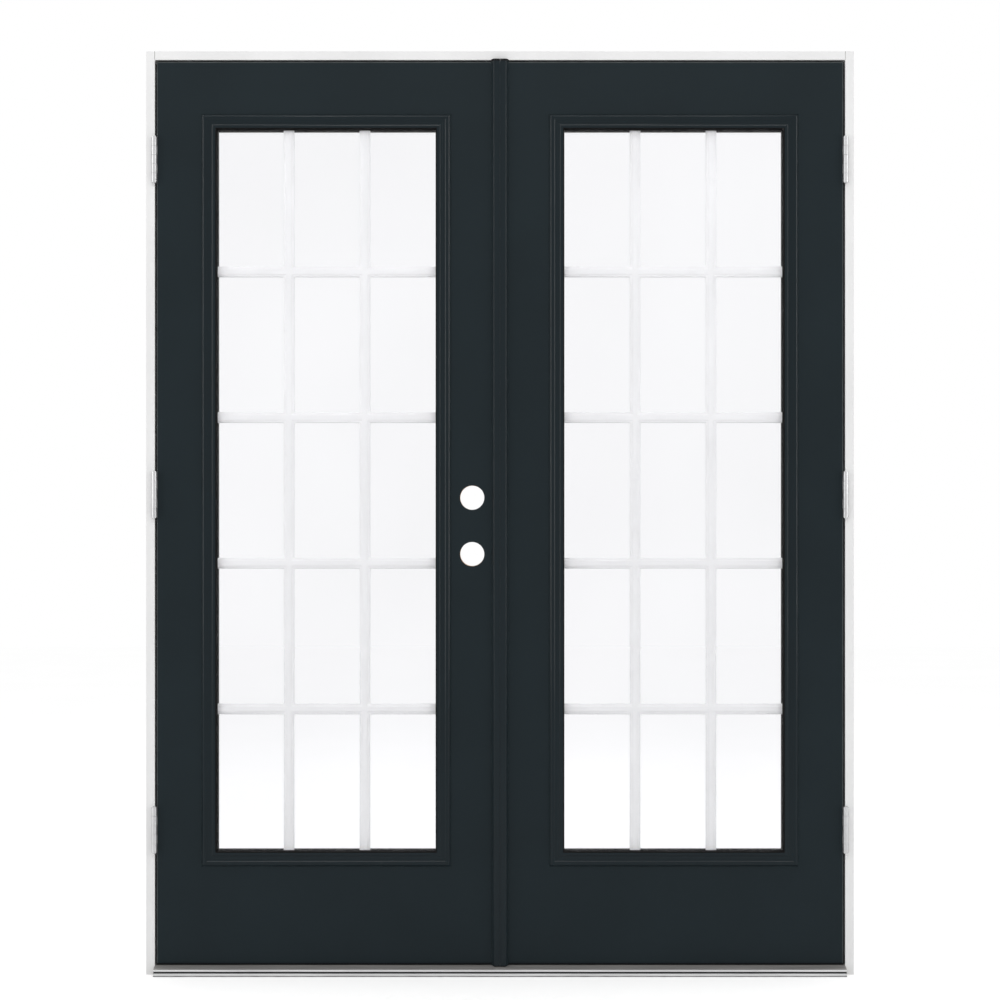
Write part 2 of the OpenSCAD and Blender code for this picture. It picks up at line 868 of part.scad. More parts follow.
module glass_spacer() {
    ring(spacer_half_w, spacer_half_h, spacer_w, pane_y + pane_t, gap_t);
}

module glazing_tape() {
    for (y = [pane_y - tape_t, pane_y + unit_t])
        ring(glass_w / 2 - lite_clear, glass_h / 2 - lite_clear, tape_w, y, tape_t);
}

// Grille of contoured bars between the panes
module grille() {
    half = [for (s = bar_shares) [s[0] * bar_w / 2, s[1] * bar_t / 2]];
    back = [for (i = [len(half) - 1:-1:0]) half[i]];
    section = concat(half, [for (p = back) [-p[0], p[1]]], [for (p = half) [-p[0], -p[1]]],
        [for (p = back) [p[0], -p[1]]]);
    run_x = 2 * (spacer_half_w - spacer_w);
    run_z = 2 * (spacer_half_h - spacer_w);
    translate([mid_x, mid_y, mid_z]) {
        for (i = [1:fields_x - 1])
            translate([(i - fields_x / 2) * glass_w / fields_x, 0, -run_z / 2])
                linear_extrude(height = run_z)
                    polygon(section);
        for (i = [1:fields_z - 1])
            translate([0, 0, (i - fields_z / 2) * glass_h / fields_z])
                along_x(run_x)
                    polygon([for (p = section) [p[1], p[0]]]);
    }
}

// Cap over the meeting edge with half of the centre nosing
module edge_cap() {
    flat = nosing_shares[len(nosing_shares) - 1];
    translate([0, 0, leaf_z - nosing_drop])
        linear_extrude(height = leaf_h + nosing_drop)
            polygon(concat([for (s = nosing_shares) [-s[0] * nosing_half, leaf_y - s[1] * nosing_proud]],
                [[-seam_half, leaf_y - flat[1] * nosing_proud], [-seam_half, leaf_y],
                [cap_face(leaf_y), leaf_y], [cap_face(in_y), in_y], [meet_x, in_y], [meet_x, leaf_y]]));
}

// Outline of the left half of the nosing in plan
module nosing_outline(size_share) {
    flat = nosing_shares[len(nosing_shares) - 1];
    polygon(concat([for (s = nosing_shares)
        [-s[0] * size_share * nosing_half, leaf_y - s[1] * size_share * nosing_proud]],
        [[-seam_half, leaf_y - flat[1] * size_share * nosing_proud], [-seam_half, leaf_y]]));
}

// Rubber pads on the two ends of the nosing: a foot over the sill and a pad before the head
module edge_pads() {
    foot_z = leaf_z - nosing_drop;
    intersection() {
        translate([0, 0, bead_z])
            linear_extrude(height = foot_z - bead_z)
                nosing_outline(foot_share);
        along_x(2 * nosing_half)
            polygon([[-nosing_proud, deck_z(-nosing_proud) + foot_clear], [leaf_y, deck_knee + foot_clear],
                [leaf_y, foot_z], [-nosing_proud, foot_z]]);
    }
    intersection() {
        translate([0, 0, leaf_top])
            linear_extrude(height = cap_pad_h)
                nosing_outline(pad_share);
        translate([-nosing_half, leaf_y - nosing_proud, leaf_top])
            cube([nosing_half, nosing_proud - leaf_y - pad_clear, cap_pad_h]);
    }
}

// Seal on the inner leaf that closes on the cap of the other, drawn on the left
module meeting_seal() {
    y0 = leaf_y + meet_seal_y;
    y1 = y0 + meet_seal_w;
    tip = cap_gap - 2 * seal_clear;
    translate([0, 0, leaf_z])
        linear_extrude(height = leaf_h)
            polygon([[cap_face(y0), y0], [tip - tip * tip_share, y0], [tip, y0 + meet_seal_w * tip_share],
                [tip, y1 - meet_seal_w * tip_share], [tip - tip * tip_share, y1], [cap_face(y1), y1]]);
}

// Finned sweep under the slab
module bottom_sweep() {
    y0 = leaf_y + skin_t;
    y1 = in_y - skin_t;
    ym = mid_y - skin_t / 2;
    low = deck_z(in_y) + foot_clear;
    high = leaf_z - skin_t;
    translate([hinge_x, 0, 0])
        rotate([90, 0, 90])
            linear_extrude(height = leaf_w)
                polygon([[y0, leaf_z], [y0, low], [y0 + skin_t, low], [y0 + skin_t, high], [ym, high],
                    [ym, low], [ym + skin_t, low], [ym + skin_t, high], [y1 - skin_t, high],
                    [y1 - skin_t, low], [y1, low], [y1, leaf_z]]);
}

// Knuckle or the room for it, counted from the lower end of a hinge
module knuckle(k, r, extra) {
    translate([pin_x, -pin_out, k * knuckle_h - hinge_h / 2 - extra])
        cylinder(r = r, h = knuckle_h + 2 * extra, $fn = 64);
}

// Half of a hinge about its middle: plate from a start in X, with its own knuckles
module hinge_half(x0, own, other) {
    difference() {
        union() {
            difference() {
                translate([x0, 0, 0])
                    hinge_plate(plate_t);
                for (k = other)
                    knuckle(k, knuckle_r + hinge_clear, hinge_clear / 2);
            }
            for (k = own)
                knuckle(k, knuckle_r, -hinge_clear / 2);
        }
        translate([pin_x, -pin_out, -hinge_h / 2 - over])
            cylinder(r = pin_r + pin_clear, h = hinge_h + 2 * over, $fn = 64);
    }
}

module jamb_hinge_leaves() {
    difference() {
        for (z = hinge_zs)
            translate([0, 0, z])
                hinge_half(-rabbet_half - plate_t, [0, 2, 4], [1, 3]);
        jamb_screw_places()
            plate_sink();
    }
}

module door_hinge_leaves() {
    difference() {
        for (z = hinge_zs)
            translate([0, 0, z])
                hinge_half(hinge_x, [1, 3], [0, 2, 4]);
        door_screw_places()
            plate_sink();
    }
}

// Pins with a tip above and below the knuckles
module left_pins() {
    stack = hinge_h - hinge_clear;
    for (z = hinge_zs)
        translate([pin_x, -pin_out, z - stack / 2]) {
            cylinder(r = pin_r, h = stack, $fn = 64);
            translate([0, 0, -pin_tip])
                cylinder(r = pin_tip_r, h = pin_tip, $fn = 64);
            translate([0, 0, stack])
                cylinder(r = pin_tip_r, h = pin_tip, $fn = 64);
        }
}

module left_jamb_hinge_leaves() {
    color("silver")
        jamb_hinge_leaves();
}

module right_jamb_hinge_leaves() {
    color("silver")
        mirror([1, 0, 0])
            jamb_hinge_leaves();
}

module hinge_pins() {
    color("silver")
        both_sides()
            left_pins();
}

module active_exterior_skin() {
    color("darkslategray")
        difference() {
            outer_skin();
            lock_bores();
        }
}

module active_interior_skin() {
    color("darkslategray")
        difference() {
            inner_skin();
            lock_bores();
        }
}

module active_lock_stile() {
    color("burlywood")
        difference() {
            meeting_stile();
            lock_bores();
            latch_bores();
        }
}

module active_edge_cap() {
    color("darkslategray")
        difference() {
            edge_cap();
            latch_bores();
        }
}

module passive_exterior_skin() {
    color("darkslategray")
        mirror([1, 0, 0])
            outer_skin();
}

module passive_interior_skin() {
    color("darkslategray")
        mirror([1, 0, 0])
            inner_skin();
}

module passive_meeting_stile() {
    color("burlywood")
        difference() {
            mirror([1, 0, 0])
                difference() {
                    meeting_stile();
                    keeper_bores();
                }
            bolt_room();
        }
}

module passive_edge_cap() {
    color("darkslategray")
        difference() {
            mirror([1, 0, 0])
                difference() {
                    edge_cap();
                    keeper_bores();
                }
            bolt_room();
        }
}

module passive_meeting_seal() {
    color("dimgray")
        mirror([1, 0, 0])
            difference() {
                meeting_seal();
                keeper_bores();
            }
}

module passive_bottom_sweep() {
    color("dimgray")
        difference() {
            mirror([1, 0, 0])
                bottom_sweep();
            bolt_room();
        }
}

module top_edge_bolt() {
    color("silver")
        bolt_form(0, 0);
}

module bottom_edge_bolt() {
    color("silver")
        lower_end()
            bolt_form(0, 0);
}

module active_hinge_stile() {
    color("burlywood")
        hinge_stile();
}

module passive_hinge_stile() {
    color("burlywood")
        mirror([1, 0, 0])
            hinge_stile();
}

module active_top_rail() {
    color("burlywood")
        top_rail();
}

module passive_top_rail() {
    color("burlywood")
        mirror([1, 0, 0])
            top_rail();
}

module active_bottom_rail() {
    color("tan")
        bottom_rail();
}

module passive_bottom_rail() {
    color("tan")
        mirror([1, 0, 0])
            bottom_rail();
}

module active_foam_core() {
    color("khaki")
        foam_core();
}

module passive_foam_core() {
    color("khaki")
        mirror([1, 0, 0])
            foam_core();
}

module active_exterior_lite_frame() {
    color("darkslategray")
        exterior_lite_frame();
}

module passive_exterior_lite_frame() {
    color("darkslategray")
        mirror([1, 0, 0])
            exterior_lite_frame();
}

module active_interior_lite_frame() {
    color("darkslategray")
        interior_lite_frame();
}

module passive_interior_lite_frame() {
    color("darkslategray")
        mirror([1, 0, 0])
            interior_lite_frame();
}

module active_lite_screws() {
    color("silver")
        lite_screws();
}

module passive_lite_screws() {
    color("silver")
        mirror([1, 0, 0])
            lite_screws();
}

module active_exterior_pane() {
    color("lightcyan")
        pane(pane_y);
}

module passive_exterior_pane() {
    color("lightcyan")
        mirror([1, 0, 0])
            pane(pane_y);
}

module active_interior_pane() {
    color("lightcyan")
        pane(pane_y + unit_t - pane_t);
}

module passive_interior_pane() {
    color("lightcyan")
        mirror([1, 0, 0])
            pane(pane_y + unit_t - pane_t);
}

module active_glass_spacer() {
    color("silver")
        glass_spacer();
}

module passive_glass_spacer() {
    color("silver")
        mirror([1, 0, 0])
            glass_spacer();
}

module active_glazing_tape() {
    color("black")
        glazing_tape();
}

module passive_glazing_tape() {
    color("black")
        mirror([1, 0, 0])
            glazing_tape();
}

module active_grille() {
    color("white")
        grille();
}

module passive_grille() {
    color("white")
        mirror([1, 0, 0])
            grille();
}

module active_edge_pads() {
    color("black")
        edge_pads();
}

module passive_edge_pads() {
    color("black")
        mirror([1, 0, 0])
            edge_pads();
}

module active_hinge_leaves() {
    color("silver")
        door_hinge_leaves();
}

module passive_hinge_leaves() {
    color("silver")
        mirror([1, 0, 0])
            door_hinge_leaves();
}

module active_bottom_sweep() {
    color("dimgray")
        bottom_sweep();
}

module active_hinge_screws() {
    color("silver")
        door_screw_places()
            plate_screw();
}

module passive_hinge_screws() {
    color("silver")
        mirror([1, 0, 0])
            door_screw_places()
                plate_screw();
}

left_jamb();
right_jamb();
head_jamb();
sill_substrate();
sill_deck();
sill_bumper();
sill_seal();
side_weatherstrips();
head_weatherstrip();
foot_pads();
frame_screws();
head_strike();
sill_socket();
left_jamb_hinge_leaves();
right_jamb_hinge_leaves();
hinge_pins();
frame_plate_screws();
active_exterior_skin();
active_interior_skin();
active_hinge_stile();
active_lock_stile();
active_top_rail();
active_bottom_rail();
active_foam_core();
active_exterior_lite_frame();
active_interior_lite_frame();
active_lite_screws();
active_exterior_pane();
active_interior_pane();
active_glass_spacer();
active_glazing_tape();
active_grille();
active_edge_cap();
active_edge_pads();
active_bottom_sweep();
active_hinge_leaves();
active_hinge_screws();
passive_exterior_skin();
passive_interior_skin();
passive_hinge_stile();
passive_meeting_stile();
passive_top_rail();
passive_bottom_rail();
passive_foam_core();
passive_exterior_lite_frame();
passive_interior_lite_frame();
passive_lite_screws();
passive_exterior_pane();
passive_interior_pane();
passive_glass_spacer();
passive_glazing_tape();
passive_grille();
passive_edge_cap();
passive_edge_pads();
passive_meeting_seal();
passive_bottom_sweep();
passive_hinge_leaves();
passive_hinge_screws();
top_edge_bolt();
bottom_edge_bolt();
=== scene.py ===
"""Looks of the outswing french doors: materials, eased edges, studio and camera round the CAD part."""

import json
import math

import bmesh
import bpy
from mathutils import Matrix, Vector


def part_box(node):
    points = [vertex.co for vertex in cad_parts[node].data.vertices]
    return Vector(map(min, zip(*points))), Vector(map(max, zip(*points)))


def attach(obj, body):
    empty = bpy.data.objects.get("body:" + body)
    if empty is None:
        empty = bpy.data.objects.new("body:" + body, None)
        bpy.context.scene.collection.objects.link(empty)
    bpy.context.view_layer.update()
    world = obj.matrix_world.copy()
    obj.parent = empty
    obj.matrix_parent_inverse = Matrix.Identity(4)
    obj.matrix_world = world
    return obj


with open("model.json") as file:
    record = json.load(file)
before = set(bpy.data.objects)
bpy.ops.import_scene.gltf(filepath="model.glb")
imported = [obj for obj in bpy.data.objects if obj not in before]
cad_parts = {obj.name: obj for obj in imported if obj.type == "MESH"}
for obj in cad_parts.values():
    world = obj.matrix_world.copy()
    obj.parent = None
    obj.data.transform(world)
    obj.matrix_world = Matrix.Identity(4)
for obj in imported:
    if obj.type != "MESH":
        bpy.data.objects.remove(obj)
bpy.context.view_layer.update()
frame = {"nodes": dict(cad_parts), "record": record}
NODES = frame["nodes"]

# Photograph's frame: millimetres a pixel at the jamb faces, and what the camera's height falls on.
IMAGE_PX = 1000
MM_PER_PX = 2.222
CAMERA_DISTANCE = 4.9
CAMERA_HEIGHT = 1.026
HORIZON_PX = 513
SENSOR_MM = 36.0
MM_PER_M = 1000

# Colours as the photograph shows them, in sRGB.
JAMB_WHITE = (236, 236, 236)
SLAB_DARK = (28, 37, 41)
TRIM_DARK = (16, 28, 33)
# Painted highlight on the rims of the lite frames and the flanks of the nosings.
TRIM_HIGHLIGHT = (41, 49, 52)
# Painted highlight along the eased edges of the slab skins.
SLAB_EDGE_HIGHLIGHT = (66, 71, 72)
FILLER_GREY = (168, 168, 166)
GRILLE_WHITE = (237, 237, 238)
SILL_METAL = (211, 212, 212)
# Painted shade on the sill's deck, foot and groove.
DECK_SHADE = (158, 156, 154)
FOOT_SHADE = (140, 140, 140)
GROOVE_SHADE = (30, 29, 28)
SATIN_METAL = (184, 184, 185)
ZINC = (150, 152, 156)
# Painted shade in the screws' cross recesses.
RECESS_SHADE = (44, 44, 46)
COMPOSITE = (146, 140, 131)
SEAL_GREY = (62, 63, 66)
RUBBER_BLACK = (10, 10, 11)
PINE = (190, 152, 108)
FOAM = (226, 212, 164)
SPACER_DARK = (20, 20, 21)
GLASS_CLEAR = (251, 251, 252)
FLOOR_PALE = (250, 250, 250)

# Noises that give the materials their detail: features a metre, and how fine they go.
NOISES = {
    "cloud": (5.0, 4.0),
    "gloss": (60.0, 2.0),
    "peel": (900.0, 2.0),
    "filler": (60.0, 3.0),
    "painted_light_mottle": (40.0, 4.0),
    "lines": (420.0, 4.0),
    "rubber": (30.0, 4.0),
    "rubber_gloss": (90.0, 3.0),
    "rubber_skin": (1400.0, 2.0),
    "grain": (36.0, 6.0),
    "foam": (220.0, 5.0),
    "foam_cells": (800.0, 3.0),
    "glass_tint": (1.5, 2.0),
    "glass_haze": (6.0, 3.0),
    "floor": (2.0, 3.0),
}
ALL_WAYS = (1, 1, 1)
ALONG_X = (0.02, 1, 1)
ALONG_Z = (1, 1, 0.02)

# Bumps: strength, and depth in metres.
PEEL = (0.25, 0.00004)
CAP_PEEL = (0.1, 0.00004)
LITE_PEEL = (0.1, 0.00003)
LINE_BUMP = (0.12, 0.00004)
RUBBER_BUMP = (0.3, 0.00006)
GRAIN_BUMP = (0.2, 0.0002)
FOAM_BUMP = (0.6, 0.0005)

# Roughness: swing about what a paint, metal or rubber is given, and least and most of the other finishes.
PAINT_GLOSS = (-0.05, 0.05)
METAL_GLOSS = (-0.06, 0.08)
RUBBER_GLOSS = (-0.08, 0.08)
LITE_ROUGH = (0.16, 0.24)
BAND_ROUGH = 0.9
WOOD_ROUGH = (0.5, 0.65)
FOAM_ROUGH = (0.85, 0.98)
GLASS_ROUGH = (0.0, 0.02)
SILL_METALLIC = 0.4

# Colour swings of paint and share of the noise that a swing is spread over.
PAINT_SWING = 0.03
JAMB_SWING = 0.012
GRILLE_SWING = 0.01
RAMP_START = 0.35
RAMP_END = 0.65

# Places that the paints follow, in metres. The left leaf mirrors the right one in x.
LITE_LOW, LITE_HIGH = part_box("passive_exterior_lite_frame")
SKIN_LOW, SKIN_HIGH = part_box("passive_exterior_skin")
CAP_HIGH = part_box("passive_edge_cap")[1]
HEAD_LOW, HEAD_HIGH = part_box("head_jamb")
SILL_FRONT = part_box("sill_deck")[0].y

# Lite frame: middle of its opening, the band round the glass that takes painted shade, and the outer rim
# that takes a painted highlight.
LITE_FACE = 0.0346
BAND_WIDTH = 0.0032
RIM_WIDTH = 0.0017
LITE_MIDDLE = (LITE_LOW + LITE_HIGH) / 2
LITE_HALF = (LITE_HIGH - LITE_LOW) / 2
BAND_HALF_W = LITE_HALF.x - LITE_FACE + BAND_WIDTH
BAND_HALF_H = LITE_HALF.z - LITE_FACE + BAND_WIDTH
RIM_HALF_W = LITE_HALF.x - RIM_WIDTH
RIM_HALF_H = LITE_HALF.z - RIM_WIDTH

# Slab: painted depth of its wooden edges, eased edges of its skins and flanks of the nosing on its cap,
# where a painted highlight goes.
EDGE_DEPTH = 0.0005
SLAB_SIDE = SKIN_HIGH.x - EDGE_DEPTH
SLAB_TOP = SKIN_HIGH.z - EDGE_DEPTH
SLAB_BOTTOM = SKIN_LOW.z + EDGE_DEPTH
EASE_WIDTH = 0.0024
EASE_SIDE = SKIN_HIGH.x - EASE_WIDTH
EASE_TOP = SKIN_HIGH.z - EASE_WIDTH
FLANK_WIDTH = 0.0034
FLANK_SIDE = CAP_HIGH.x - FLANK_WIDTH
FACE_CLEAR = 0.0001
FLANK_FRONT = SKIN_LOW.y - FACE_CLEAR

# Joint of the head with the side jambs, above the part of the head that the leaves hide.
JOINT_SIDE = HEAD_HIGH.x
JOINT_HALF = 0.0007
HEAD_HIDDEN = 0.01325
JOINT_LOW = HEAD_LOW.z + HEAD_HIDDEN

# Sill: groove of its nose, deck behind the nose, and foot, all three darkened as painted shade.
GROOVE_SKIN = 0.0004
GROOVE_FRONT = SILL_FRONT + GROOVE_SKIN
GROOVE_LOW = 0.0078
GROOVE_HIGH = 0.0126
NOSE_DEPTH = 0.0018
DECK_FRONT = SILL_FRONT + NOSE_DEPTH
DECK_LOW = 0.0152
FOOT_HIGH = 0.0031


def linear(rgb):
    """Linear RGBA of an sRGB colour in 0..255."""
    out = []
    for value in rgb:
        c = value / 255
        out.append(c / 12.92 if c <= 0.04045 else ((c + 0.055) / 1.055) ** 2.4)
    return (*out, 1.0)


def shade(rgb, factor):
    """sRGB colour times a factor, kept in range."""
    return tuple(min(255, value * factor) for value in rgb)


class Material:
    """Principled material with helpers that wire procedural detail into it."""

    def __init__(self, name):
        self.mat = bpy.data.materials.new(name)
        self.mat.use_nodes = True
        self.tree = self.mat.node_tree
        self.bsdf = self.tree.nodes["Principled BSDF"]
        self.coords = self.add("ShaderNodeTexCoord").outputs["Object"]

    def add(self, kind, **values):
        node = self.tree.nodes.new(kind)
        for key, value in values.items():
            setattr(node, key, value)
        return node

    def link(self, out, socket):
        """Output wired to a socket, or to an input of the shader by its name."""
        if isinstance(socket, str):
            socket = self.bsdf.inputs[socket]
        self.tree.links.new(out, socket)

    def set(self, **values):
        """Constants of the shader, by input name with _ for a space."""
        for key, value in values.items():
            self.bsdf.inputs[key.replace("_", " ")].default_value = value

    def noise(self, kind, stretch=ALL_WAYS):
        """Noise in object space, drawn out along an axis whose stretch is small."""
        mapping = self.add("ShaderNodeMapping")
        mapping.inputs["Scale"].default_value = stretch
        self.link(self.coords, mapping.inputs["Vector"])
        noise = self.add("ShaderNodeTexNoise")
        noise.inputs["Scale"].default_value, noise.inputs["Detail"].default_value = NOISES[kind]
        self.link(mapping.outputs["Vector"], noise.inputs["Vector"])
        return noise.outputs["Fac"]

    def axes(self):
        """Object coordinates one by one."""
        split = self.add("ShaderNodeSeparateXYZ")
        self.link(self.coords, split.inputs["Vector"])
        return [split.outputs[name] for name in "XYZ"]

    def calc(self, value, operation, number=0.0):
        """Value joined with a number by one operation."""
        node = self.add("ShaderNodeMath", operation=operation)
        self.link(value, node.inputs[0])
        node.inputs[1].default_value = number
        return node.outputs["Value"]

    def join(self, operation, values):
        """Several values joined by one operation."""
        out = values[0]
        for value in values[1:]:
            node = self.add("ShaderNodeMath", operation=operation)
            self.link(out, node.inputs[0])
            self.link(value, node.inputs[1])
            out = node.outputs["Value"]
        return out

    def off(self, value, middle):
        """Distance of a value from a middle."""
        return self.calc(self.calc(value, "SUBTRACT", middle), "ABSOLUTE")

    def over(self, value, limit):
        """1 where a value is above a limit, else 0."""
        return self.calc(value, "GREATER_THAN", limit)

    def under(self, value, limit):
        """1 where a value is below a limit, else 0."""
        return self.calc(value, "LESS_THAN", limit)

    def both(self, *masks):
        """1 where all masks are 1."""
        return self.join("MULTIPLY", masks)

    def either(self, *masks):
        """Highest of several masks or values."""
        return self.join("MAXIMUM", masks)

    def spread(self, fac, low, high):
        """Value mapped from 0..1 to low..high."""
        node = self.add("ShaderNodeMapRange")
        node.inputs["To Min"].default_value = low
        node.inputs["To Max"].default_value = high
        self.link(fac, node.inputs["Value"])
        return node.outputs["Result"]

    def mix(self, fac, low, high):
        """Colour between two colour outputs."""
        node = self.add("ShaderNodeMix", data_type="RGBA")
        self.link(fac, node.inputs["Factor"])
        self.link(low, node.inputs["A"])
        self.link(high, node.inputs["B"])
        return node.outputs["Result"]

    def cloud(self, rgb, fac, swing):
        """Colour that wanders by a share of itself."""
        node = self.add("ShaderNodeValToRGB")
        ends = zip(node.color_ramp.elements, (RAMP_START, RAMP_END), (1 - swing, 1 + swing))
        for element, place, factor in ends:
            element.position = place
            element.color = linear(shade(rgb, factor))
        self.link(fac, node.inputs["Fac"])
        return node.outputs["Color"]

    def coat(self, rgb, swing=PAINT_SWING):
        """Faintly cloudy colour of sprayed paint."""
        return self.cloud(rgb, self.noise("cloud"), swing)

    def bump(self, fac, strength, distance):
        node = self.add("ShaderNodeBump")
        node.inputs["Strength"].default_value = strength
        node.inputs["Distance"].default_value = distance
        self.link(fac, node.inputs["Height"])
        self.link(node.outputs["Normal"], "Normal")

    def roughness(self, fac, low, high):
        self.link(self.spread(fac, low, high), "Roughness")

    def sprayed(self, specular, rough, peel=PEEL):
        """Uneven gloss and orange peel of sprayed paint."""
        self.roughness(self.noise("gloss"), *[rough + swing for swing in PAINT_GLOSS])
        self.bump(self.noise("peel"), *peel)
        self.set(Specular_IOR_Level=specular)

    def drawn(self, lines, rough):
        """Uneven gloss and fine scratches of drawn metal."""
        self.roughness(lines, *[rough + swing for swing in METAL_GLOSS])
        self.bump(lines, *LINE_BUMP)


def enamel(name, rgb, swing):
    """Even enamel with fine orange peel."""
    m = Material(name)
    m.link(m.coat(rgb, swing), "Base Color")
    m.sprayed(specular=0.4, rough=0.35)
    return m.mat


def jamb(name, rgb):
    """White paint with a line of filler where the head meets the side jambs."""
    m = Material(name)
    x, _, z = m.axes()
    joint = m.both(m.under(m.off(m.off(x, 0), JOINT_SIDE), JOINT_HALF), m.over(z, JOINT_LOW))
    filler = m.cloud(FILLER_GREY, m.noise("filler"), swing=0.08)
    m.link(m.mix(joint, m.coat(rgb, JAMB_SWING), filler), "Base Color")
    m.sprayed(specular=0.35, rough=0.45)
    return m.mat


def moulding(name, rgb, rim_highlight_rgb):
    """Paint of a lite frame, with a painted highlight on its outer rim and a dull black band of painted
    shade down to the glass, in part a glazing gasket.
    """
    m = Material(name)
    x, _, z = m.axes()
    aside = m.off(m.off(x, 0), LITE_MIDDLE.x)
    rise = m.off(z, LITE_MIDDLE.z)
    # Black band round the glass: painted shade over the wall and inner slope, in part a black glazing
    # gasket.
    band = m.both(m.under(aside, BAND_HALF_W), m.under(rise, BAND_HALF_H))
    # Paler outer rim: a painted highlight.
    rim = m.either(m.over(aside, RIM_HALF_W), m.over(rise, RIM_HALF_H))
    gasket_and_shade = m.cloud(RUBBER_BLACK, m.noise("rubber"), swing=0.1)
    m.link(m.mix(band, m.mix(rim, m.coat(rgb), m.coat(rim_highlight_rgb)), gasket_and_shade), "Base Color")
    gloss = m.spread(m.noise("gloss"), *LITE_ROUGH)
    m.link(m.either(gloss, m.spread(band, 0.0, BAND_ROUGH)), "Roughness")
    m.bump(m.noise("peel"), *LITE_PEEL)
    m.set(Specular_IOR_Level=0.16)
    return m.mat


def cap(name, rgb, flank_highlight_rgb):
    """Paint of an edge cap, with a painted highlight on the steep flank of its nosing."""
    m = Material(name)
    x, y, _ = m.axes()
    # Paler flank of the nosing: a painted highlight.
    flank = m.both(m.over(m.off(x, 0), FLANK_SIDE), m.under(y, FLANK_FRONT))
    m.link(m.mix(flank, m.coat(rgb), m.coat(flank_highlight_rgb)), "Base Color")
    m.sprayed(specular=0.18, rough=0.22, peel=CAP_PEEL)
    return m.mat


def skin(name, rgb, edge_highlight_rgb):
    """Paint of a door skin, paler along its eased outer edges as a painted highlight."""
    m = Material(name)
    x, _, z = m.axes()
    # Paler eased edges: a painted highlight.
    edge = m.either(m.over(m.off(x, 0), EASE_SIDE), m.over(z, EASE_TOP))
    edge_highlight = m.cloud(edge_highlight_rgb, m.noise("painted_light_mottle"), swing=0.12)
    m.link(m.mix(edge, m.coat(rgb), edge_highlight), "Base Color")
    m.sprayed(specular=0.1, rough=0.46)
    return m.mat


def sill(name, rgb):
    """Extruded aluminium with lines along it, and painted shade on its deck, its grey foot and its
    groove.
    """
    m = Material(name)
    _, y, z = m.axes()
    # Groove, deck and foot are darkened as painted shade.
    groove = m.both(m.over(y, GROOVE_FRONT), m.over(z, GROOVE_LOW), m.under(z, GROOVE_HIGH))
    deck = m.both(m.over(y, DECK_FRONT), m.over(z, DECK_LOW))
    lines = m.noise("lines", ALONG_X)
    deck_shaded = m.mix(deck, m.cloud(rgb, lines, swing=0.05), m.cloud(DECK_SHADE, lines, swing=0.08))
    foot_shade = m.cloud(FOOT_SHADE, m.noise("painted_light_mottle"), swing=0.1)
    groove_shade = m.cloud(GROOVE_SHADE, m.noise("painted_light_mottle"), swing=0.2)
    m.link(m.mix(groove, m.mix(m.under(z, FOOT_HIGH), deck_shaded, foot_shade), groove_shade), "Base Color")
    m.link(m.spread(groove, SILL_METALLIC, 0.0), "Metallic")
    m.drawn(lines, rough=0.5)
    return m.mat


def metal(name, rgb, rough):
    """Metal with fine upright lines."""
    m = Material(name)
    lines = m.noise("lines", ALONG_Z)
    m.link(m.cloud(rgb, lines, swing=0.05), "Base Color")
    m.drawn(lines, rough)
    m.set(Metallic=1.0)
    return m.mat


def rubber(name, rgb, rough, swing=0.12):
    """Dull rubber, vinyl or composite with a fine skin."""
    m = Material(name)
    m.link(m.cloud(rgb, m.noise("rubber"), swing), "Base Color")
    m.roughness(m.noise("rubber_gloss"), *[rough + swing for swing in RUBBER_GLOSS])
    m.bump(m.noise("rubber_skin"), *RUBBER_BUMP)
    m.set(Specular_IOR_Level=0.12)
    return m.mat


def painted_wood(name, rgb, paint_rgb):
    """Planed softwood with upright grain, painted where it is the outer edge of a slab."""
    m = Material(name)
    x, _, z = m.axes()
    edge = m.either(m.over(m.off(x, 0), SLAB_SIDE), m.over(z, SLAB_TOP), m.under(z, SLAB_BOTTOM))
    grain = m.noise("grain", ALONG_Z)
    m.link(m.mix(edge, m.cloud(rgb, grain, swing=0.22), m.coat(paint_rgb, swing=0.04)), "Base Color")
    m.roughness(grain, *WOOD_ROUGH)
    m.bump(grain, *GRAIN_BUMP)
    m.set(Specular_IOR_Level=0.15)
    return m.mat


def foam(name, rgb):
    """Rigid foam with open cells."""
    m = Material(name)
    lumps = m.noise("foam")
    m.link(m.cloud(rgb, lumps, swing=0.1), "Base Color")
    m.roughness(lumps, *FOAM_ROUGH)
    m.bump(m.noise("foam_cells"), *FOAM_BUMP)
    return m.mat


def glass(name, rgb):
    """Clear float glass with hardly any haze."""
    m = Material(name)
    m.link(m.cloud(rgb, m.noise("glass_tint"), swing=0.004), "Base Color")
    m.roughness(m.noise("glass_haze"), *GLASS_ROUGH)
    m.set(IOR=1.5, Transmission_Weight=1.0)
    return m.mat


